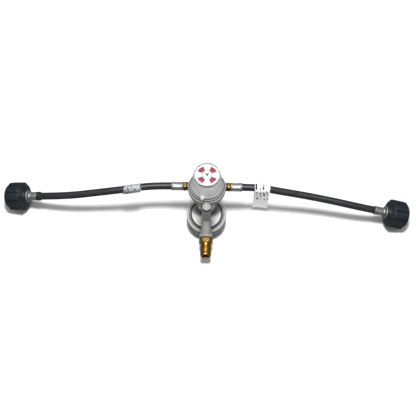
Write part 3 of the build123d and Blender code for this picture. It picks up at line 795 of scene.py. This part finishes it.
def make_outlet():
    """Flare outlet: hexagon, collar, relief, 3/4-16 thread, nose and bore."""
    hex_start, hex_end = OUTLET_HEX_START, OUTLET_HEX_START + 9.5 * MM
    flats = 20.6 * MM
    thread_low, thread_high = hex_end + 5.2 * MM, OUTLET_END - 3.6 * MM
    pitch, depth, crest = 25.4 / 16 * MM, 0.95 * MM, 9.5 * MM
    bore = 5.4 * MM
    widest = flats / 2 / math.cos(math.pi / 6)
    profile = [(bore, hex_start - 9.2 * MM), (7.45 * MM, hex_start - 9.2 * MM),
               (7.45 * MM, hex_start + 1.0 * MM)]
    profile += cone((9.3 * MM, hex_start + 1.02 * MM), (widest, hex_start + 2.0 * MM), 4)
    profile += cone((widest, hex_start + 2.4 * MM), (widest, hex_end - 1.6 * MM), 3)
    profile += cone((widest, hex_end - 1.2 * MM), (9.3 * MM, hex_end), 4)
    profile += rounded([(9.2 * MM, hex_end), (9.2 * MM, hex_end + 2.5 * MM),
                        (8.2 * MM, hex_end + 3.1 * MM), (8.2 * MM, thread_low - 0.7 * MM)],
                       0.35 * MM, closed=False)
    turns = (thread_high - thread_low) / pitch
    profile += dense(thread_low, thread_high, round(turns * 9), crest)
    profile += rounded([(8.7 * MM, thread_high + 0.7 * MM), (8.5 * MM, OUTLET_END - 0.9 * MM),
                        (7.7 * MM, OUTLET_END), (bore + 0.9 * MM, OUTLET_END),
                        (bore, OUTLET_END - 1.2 * MM), (bore, OUTLET_END - 4 * MM)], 0.3 * MM,
                       closed=False)

    def shape(radius, distance, angle):
        if hex_start < distance <= hex_end and radius > 9.25 * MM:
            return min(radius, hexagon_radius(flats, angle))
        if thread_low <= distance <= thread_high and radius == crest:
            return radius - depth * thread_cut(distance, angle, thread_low, thread_high, pitch)
        return radius

    place = axis_place(OUTLET_MIDDLE, OUTLET_AXIS, math.radians(30))
    fitting = turned("flare_outlet", profile, place, BRASS, segments=144, shape=shape,
                     crease_deg=38)
    return put(fitting, "regulator", "brass", "outlet_fitting")


def make_flare_nut(name):
    """The brass hexagon nut between a pigtail's ferrule and its inlet."""
    flats = 15.4 * MM
    widest = flats / 2 / math.cos(math.pi / 6)
    start, end = INLET_FACE, FERRULE_START
    hex_start = start + 1.9 * MM
    profile = [(2.5 * MM, start - 3 * MM), (5.5 * MM, start - 3 * MM), (5.5 * MM, hex_start)]
    profile += cone((6.6 * MM, hex_start + 0.02 * MM), (widest, hex_start + 1.5 * MM), 5)
    profile += cone((widest, hex_start + 1.9 * MM), (widest, end - 2.2 * MM), 3)
    profile += cone((widest, end - 1.8 * MM), (6.6 * MM, end - 0.1 * MM), 5)
    profile += [(5.6 * MM, end), (2.5 * MM, end)]

    def shape(radius, distance, angle):
        return radius if radius < 6.5 * MM else min(radius, hexagon_radius(flats, angle))

    place = axis_place(INLET, (SIDES[name], 0, 0), math.radians(30))
    nut = turned(f"pigtail_nut_{name}", profile, place, BRASS_NUT, shape=shape, crease_deg=38)
    return put(nut, "regulator", "brass", f"flare_nut_{name}")


def make_inlet_collar(name):
    """The dark steel collar between an inlet boss and its nut."""
    profile = rounded(band(5.6 * MM, 7.3 * MM, 0.05 * MM, 1.8 * MM), 0.4 * MM)
    along = Vector((SIDES[name], 0, 0))
    collar = turned(f"inlet_collar_{name}", profile, axis_place(INLET + along * INLET_FACE, along),
                    DARK_STEEL)
    return put(collar, "regulator", "steel")


def make_ferrule(name, place, length, node):
    """A crimped sleeve: eight pressed flats between two plain end bands."""
    wide, flat = 7.7 * MM, 6.85 * MM
    dies = 8
    band = 2.7 * MM
    profile = rounded([(2.5 * MM, 0), (6.6 * MM, 0), (wide, 1.0 * MM), (wide, length - 1.0 * MM),
                       (7.2 * MM, length), (2.5 * MM, length)], 0.5 * MM)
    low = [point for point in profile if point[1] < 2 * MM and point[0] > 2.6 * MM]
    high = [point for point in profile if point[1] > length - 2 * MM and point[0] > 2.6 * MM]
    profile = [(2.5 * MM, 0), *low, *dense(2.1 * MM, length - 2.1 * MM, 22, wide), *high,
               (2.5 * MM, length)]

    def shape(radius, distance, angle):
        if radius < 7.0 * MM:
            return radius
        pressed = smooth_step(distance, band - 0.5 * MM, band + 0.5 * MM)
        pressed *= 1 - smooth_step(distance, length - band - 0.5 * MM, length - band + 0.5 * MM)
        phase = angle * dies / TAU % 1.0 - 0.5
        pressed *= 1 - smooth_step(abs(phase), 0.37, 0.45)
        return radius - pressed * (radius - flat / math.cos(phase * TAU / dies))

    sleeve = turned(name, profile, place, FERRULE, segments=160, shape=shape, crease_deg=40)
    return put(sleeve, "regulator", "ferrule_steel", node)


def make_test_plug():
    """The hexagon plug in the test port: a round shank, and a head with a stepped top."""
    low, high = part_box("test_plug")
    shank, tall = 4.8 * MM, 10.5 * MM
    middle = (low + high) / 2
    seat = high.z - tall
    steps = [(7.15, 0), (7.15, 0.9), (7.15, 5.0), (7.15, 9.5), (6.3, 10.5), (5.5, 10.5),
             (5.2, 10.0), (4.2, 10.0), (3.9, 10.5), (3.0, 10.5), (2.7, 9.7), (0, 9.7)]
    foot = low.z - seat
    outline = [(0, foot), (shank - 0.5 * MM, foot), (shank, foot + 0.5 * MM), (shank, -0.01 * MM)]
    outline += rounded(in_mm(steps), 0.25 * MM, steps=2, closed=False)

    def shape(radius, distance, angle):
        if distance < -0.005 * MM:
            return radius
        return hexagon_radius(2 * radius, angle)

    place = axis_place((middle.x, middle.y, seat), (0, 0, 1))
    plug = turned("test_port_plug", outline, place, PLUG_STEEL, shape=shape, crease_deg=38)
    return put(plug, "regulator", "steel", "test_plug")


# ---- hand nuts
NUT_RIBS = 10
RIB_LOW, RIB_HIGH = 7.4 * MM, 33.0 * MM
GRIP_LOW, GRIP_HIGH = 6.9 * MM, 33.7 * MM
NUT_BODY_R, NUT_RIB_R = 22.4 * MM, 25.0 * MM
RIB_FULL, RIB_GONE = math.radians(12.2), math.radians(14.0)


def make_hand_nut(name):
    """Black hand nut: ten wide grip panels, a stepped neck and an ACME thread inside."""
    joint = JOINTS[f"hand_nut_{name}_turn"]
    thread_low, thread_high = 18.5 * MM, 34.6 * MM
    pitch, depth, bore = 5.08 * MM, 1.2 * MM, 16.3 * MM
    steps = in_mm([(5.55, 0.2), (11.6, 0.2), (13.4, 1.2), (13.4, 2.4), (15.0, 2.9), (15.0, 4.3),
                   (18.6, 4.6), (20.2, 5.6)])
    neck = rounded([*steps, (NUT_BODY_R, 6.4 * MM), (NUT_BODY_R, 7.0 * MM)], 0.45 * MM,
                   closed=False)
    grip = dense(7.1 * MM, 9.3 * MM, 8, NUT_BODY_R) + dense(11 * MM, 30 * MM, 8, NUT_BODY_R)
    grip += dense(31 * MM, 33.6 * MM, 9, NUT_BODY_R)
    mouth = rounded([(NUT_BODY_R, 34.1 * MM), *in_mm([(20.6, 36.9), (17.9, 36.9)]),
                     (bore, 35.4 * MM)], 0.5 * MM, closed=False)
    screw = list(reversed(dense(thread_low, thread_high, 42, bore)))
    seat = rounded([(bore, 17.2 * MM), *in_mm([(12, 14.6), (12, 9.4), (5.55, 9.4)])], 0.4 * MM,
                   closed=False)
    profile = [*neck, *grip, *mouth, *screw, *seat]

    def shape(radius, distance, angle):
        if radius == bore and thread_low <= distance <= thread_high:
            cut = thread_cut(distance, angle, thread_low, thread_high, pitch, fade=0.4)
            return radius + depth * min(1.0, max(0.0, cut * 2 - 0.5))
        if radius < NUT_BODY_R - 1e-9 or not GRIP_LOW < distance < GRIP_HIGH:
            return radius
        part = TAU / NUT_RIBS
        off = abs((angle - TAU / 4 + part / 2) % part - part / 2)
        raised = 1 - smooth_step(off, RIB_FULL, RIB_GONE)
        raised *= smooth_step(distance, RIB_LOW - 0.2 * MM, RIB_LOW + 1.4 * MM)
        raised *= 1 - smooth_step(distance, RIB_HIGH - 1.4 * MM, RIB_HIGH + 0.2 * MM)
        crown = 0.35 * MM * (off / math.radians(13)) ** 2
        return radius + raised * (NUT_RIB_R - NUT_BODY_R - crown)

    place = axis_place(joint["pos_m"], joint["axis"])
    nut = turned(f"hand_nut_{name}", profile, place, NUT_BLACK, segments=300, shape=shape,
                 crease_deg=44)
    return put(nut, f"hand_nut_{name}", "black_plastic", f"coupling_nut_{name}")


def make_coupling_end(name):
    """Outer ferrule and retaining ring behind a hand nut."""
    joint = JOINTS[f"hand_nut_{name}_turn"]
    face, along = Vector(joint["pos_m"]), Vector(joint["axis"])
    gap = 3 * MM
    sleeve = make_ferrule(f"crimp_outer_{name}", axis_place(face - along * gap, -along),
                          FERRULE_BACK[name] - gap, f"outer_ferrule_{name}")
    profile = rounded(band(5.5 * MM, 11.2 * MM, -2.4 * MM, -0.3 * MM), 0.8 * MM)
    ring = turned(f"retaining_ring_{name}", profile, axis_place(face, along), FERRULE)
    put(ring, "regulator", "steel", f"nipple_ring_{name}")
    return [sleeve, ring]


def make_collar():
    """The rubber ring on the left hose, pushed up against its outer ferrule."""
    joint = JOINTS["hand_nut_left_turn"]
    start = FERRULE_BACK["left"]
    profile = rounded(band(6.2 * MM, 7.9 * MM, -start - 6.5 * MM, -start), 1.5 * MM, steps=6)
    collar = turned("hose_ring", profile, axis_place(joint["pos_m"], joint["axis"]), RUBBER)
    return put(collar, "regulator", "hose_rubber", "hose_collar")


# ---- label and tag
def near(points, low, high):
    """The stretch of a line between two places along X, by increasing X."""
    return sorted((point for point in points if low <= point.x <= high), key=lambda p: p.x)


def along_line(points, x):
    """The point and direction of a line where it passes a place along X."""
    for before, after in zip(points, points[1:]):
        if before.x <= x <= after.x:
            share = (x - before.x) / (after.x - before.x)
            return before.lerp(after, share), (after - before).normalized()
    end = 0 if x < points[0].x else -1
    return points[end], (points[1] - points[0]).normalized()


def sheet_piece(name, rows, material, thickness, closed=False):
    """A thin sheet through rows of points, given a real thickness."""
    work = bmesh.new()
    made = [[work.verts.new(point) for point in row] for row in rows]
    for row, following in zip(made, made[1:]):
        for index in range(len(row) - (0 if closed else 1)):
            after = (index + 1) % len(row)
            work.faces.new([row[index], row[after], following[after], following[index]])
    piece = finished(name, as_mesh(work, name), material, crease_deg=60)
    thick = piece.modifiers.new("thickness", "SOLIDIFY")
    thick.thickness = thickness
    thick.offset = 1
    piece.modifiers.move(1, 0)
    return piece


def make_label():
    """Foil label wrapped a little askew round the left hose, one end standing off."""
    low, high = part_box("hose_label")
    line = near(hose_line("left"), low.x - 30 * MM, high.x + 30 * MM)
    middle = (low.x + high.x) / 2
    half = 15.0 * MM
    skew = 2.4 * MM
    start_deg, wrap_deg = -60, 415
    rows = []
    for station in range(25):
        share = station / 24 * 2 - 1
        row = []
        for step in range(64):
            wrap = step / 63
            angle = math.radians(start_deg + wrap_deg * wrap)
            x = middle + share * half + skew * math.sin(angle)
            centre, along = along_line(line, x)
            across = along.cross(Vector((0, 0, 1))).normalized()
            above = across.cross(along)
            lift = 0.25 * MM + 0.22 * MM * wrap + 2.6 * MM * smooth_step(wrap, 0.93, 1.0)
            out = across * math.cos(angle) + above * math.sin(angle)
            row.append(centre + out * (HOSE_R + lift))
        rows.append(row)
    label = sheet_piece("hose_label_wrap", rows, LABEL, 0.12 * MM)
    return put(label, "regulator", "silver_label", "hose_label")


def make_tag():
    """Card tag folded over the right hose, its two halves pressed together below.

    A row runs up the back half, over the hose and down the front half: each entry is
    the part it is on (-1, 0 or 1) and how far along that part it lies.
    """
    low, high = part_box("hose_tag")
    line = near(hose_line("right"), low.x - 20 * MM, high.x + 20 * MM)
    inset = 4.4 * MM
    loop = HOSE_R + 0.7 * MM
    under = math.radians(35)
    flag, turn = 22, 28
    row = [(-1, 1 - step / flag) for step in range(flag)]
    row += [(0, step / turn) for step in range(turn + 1)]
    row += [(1, step / flag) for step in range(1, flag + 1)]
    rows = []
    for station in range(21):
        share = station / 20
        x = low.x + inset + (high.x - low.x - inset) * share
        centre, _ = along_line(line, x)
        points = []
        for part, value in row:
            if part == 0:
                angle = math.pi + under - (math.pi + 2 * under) * value
                points.append(Vector((x, centre.y + loop * math.cos(angle),
                                      centre.z + loop * math.sin(angle))))
                continue
            edge = loop * math.cos(under)
            top = centre.z - loop * math.sin(under)
            z = top + (low.z - top) * value
            close = max(0.0, 1 - value * 5.5)
            curl = 1.6 * MM * math.sin(value * 2.6) + 0.9 * MM * math.sin(share * 4.0) * value
            y = centre.y + part * (edge * close**1.6 + 0.28 * MM) + curl
            lean = -1.2 * MM * value
            points.append(Vector((x + lean, y, z)))
        rows.append(points)
    tag = sheet_piece("hose_tag_card", rows, PAPER, 0.22 * MM)
    return put(tag, "regulator", "paper", "hose_tag")


# ---- assembling
make_knob()
make_lens()
make_dial()
make_dial_arrow()
make_hub_ring()
make_cap_gasket()
make_outlet()
make_test_plug()
PIECES_ON = {}
for side, sign in SIDES.items():
    make_flare_nut(side)
    make_inlet_collar(side)
    make_ferrule(f"crimp_inner_{side}",
                 axis_place(INLET + Vector((sign * FERRULE_START, 0, 0)), (sign, 0, 0)),
                 FERRULE_END - FERRULE_START, f"inner_ferrule_{side}")
    PIECES_ON[side] = [make_hand_nut(side), *make_coupling_end(side)]
PIECES_ON["left"] += [make_collar(), make_label()]
PIECES_ON["right"] += [make_tag()]

FINISHED_NODES = [
    (ZINC, ["main_body"]),
    (ZINC_PLAIN, ["first_stage_bonnet", "second_stage_bonnet"]),
    (RUBBER, ["closing_cap", "first_stage_diaphragm", "second_stage_diaphragm", "valve_disc",
              "probe_seal_left", "probe_seal_right"]),
    (PLATED, ["adjusting_screw", "vent_screen", "lever_pin", "lever", "first_stage_plate",
              "second_stage_plate", "indicator_stem", "selector_spindle", "inlet_filter_left",
              "inlet_filter_right"]),
    (SPRING, ["first_stage_spring", "second_stage_spring", "inlet_spring_left",
              "inlet_spring_right", "poppet_spring_left", "poppet_spring_right"]),
    (BRASS, ["orifice", "inlet_seat_left", "inlet_seat_right", "inlet_valve_left",
             "inlet_valve_right", "nipple_left", "nipple_right", "excess_flow_poppet_left",
             "excess_flow_poppet_right"]),
    (DRUM_RED, ["indicator_drum"]),
]
for material, nodes in FINISHED_NODES:
    for node in nodes:
        mesh = frame["nodes"][node].data
        mesh.materials.clear()
        mesh.materials.append(material)


# ---- floor and light
def make_floor():
    """A plain white floor that the lamp lights but the metal doesn't mirror."""
    size = 12.0
    mesh = bpy.data.meshes.new("floor")
    mesh.from_pydata([(-size, -size, 0), (size, -size, 0), (size, size, 0), (-size, size, 0)],
                     [], [(0, 1, 2, 3)])
    paint = Surface("floor_white", specular=0.2)
    paint.colour(paint.blended(paint.clouds(3.0), (0.84, 0.84, 0.84, 1), (0.86, 0.86, 0.86, 1)))
    paint.shader.inputs["Roughness"].default_value = 0.8
    mesh.materials.append(paint.done())
    floor = added("floor", mesh)
    floor.visible_glossy = False


def make_light():
    """A lamp almost overhead, and a surround that is darkest near the horizon."""
    data = bpy.data.lights.new("key", "AREA")
    data.shape = "DISK"
    data.size = 0.34
    data.energy = 52.0
    key = added("key", data)
    tilt = math.radians(5.0)
    height = 2.2
    key.location = (0, -height * math.sin(tilt), height * math.cos(tilt))
    key.rotation_euler = (-tilt, 0, 0)
    world = bpy.data.worlds.new("studio")
    world.use_nodes = True
    bpy.context.scene.world = world
    tree = world.node_tree
    back = tree.nodes["Background"]
    back.inputs["Strength"].default_value = 0.88
    place = tree.nodes.new("ShaderNodeTexCoord")
    split = tree.nodes.new("ShaderNodeSeparateXYZ")
    height_share = tree.nodes.new("ShaderNodeMapRange")
    height_share.inputs["From Min"].default_value = -1.0
    ramp = tree.nodes.new("ShaderNodeValToRGB")
    tree.links.new(place.outputs["Generated"], split.inputs["Vector"])
    tree.links.new(split.outputs["Z"], height_share.inputs["Value"])
    tree.links.new(height_share.outputs["Result"], ramp.inputs["Fac"])
    tree.links.new(ramp.outputs["Color"], back.inputs["Color"])
    tones = [(0.0, 0.26), (0.35, 0.2), (0.52, 0.06), (0.75, 0.2), (0.88, 0.36), (0.93, 0.95)]
    stops = ramp.color_ramp.elements
    stops.remove(stops[1])
    for position, tone in tones:
        stop = stops[0] if position == 0.0 else stops.new(position)
        stop.color = (tone, tone, tone * 1.01, 1)
    bpy.context.scene.view_settings.view_transform = "Standard"


make_floor()
make_light()
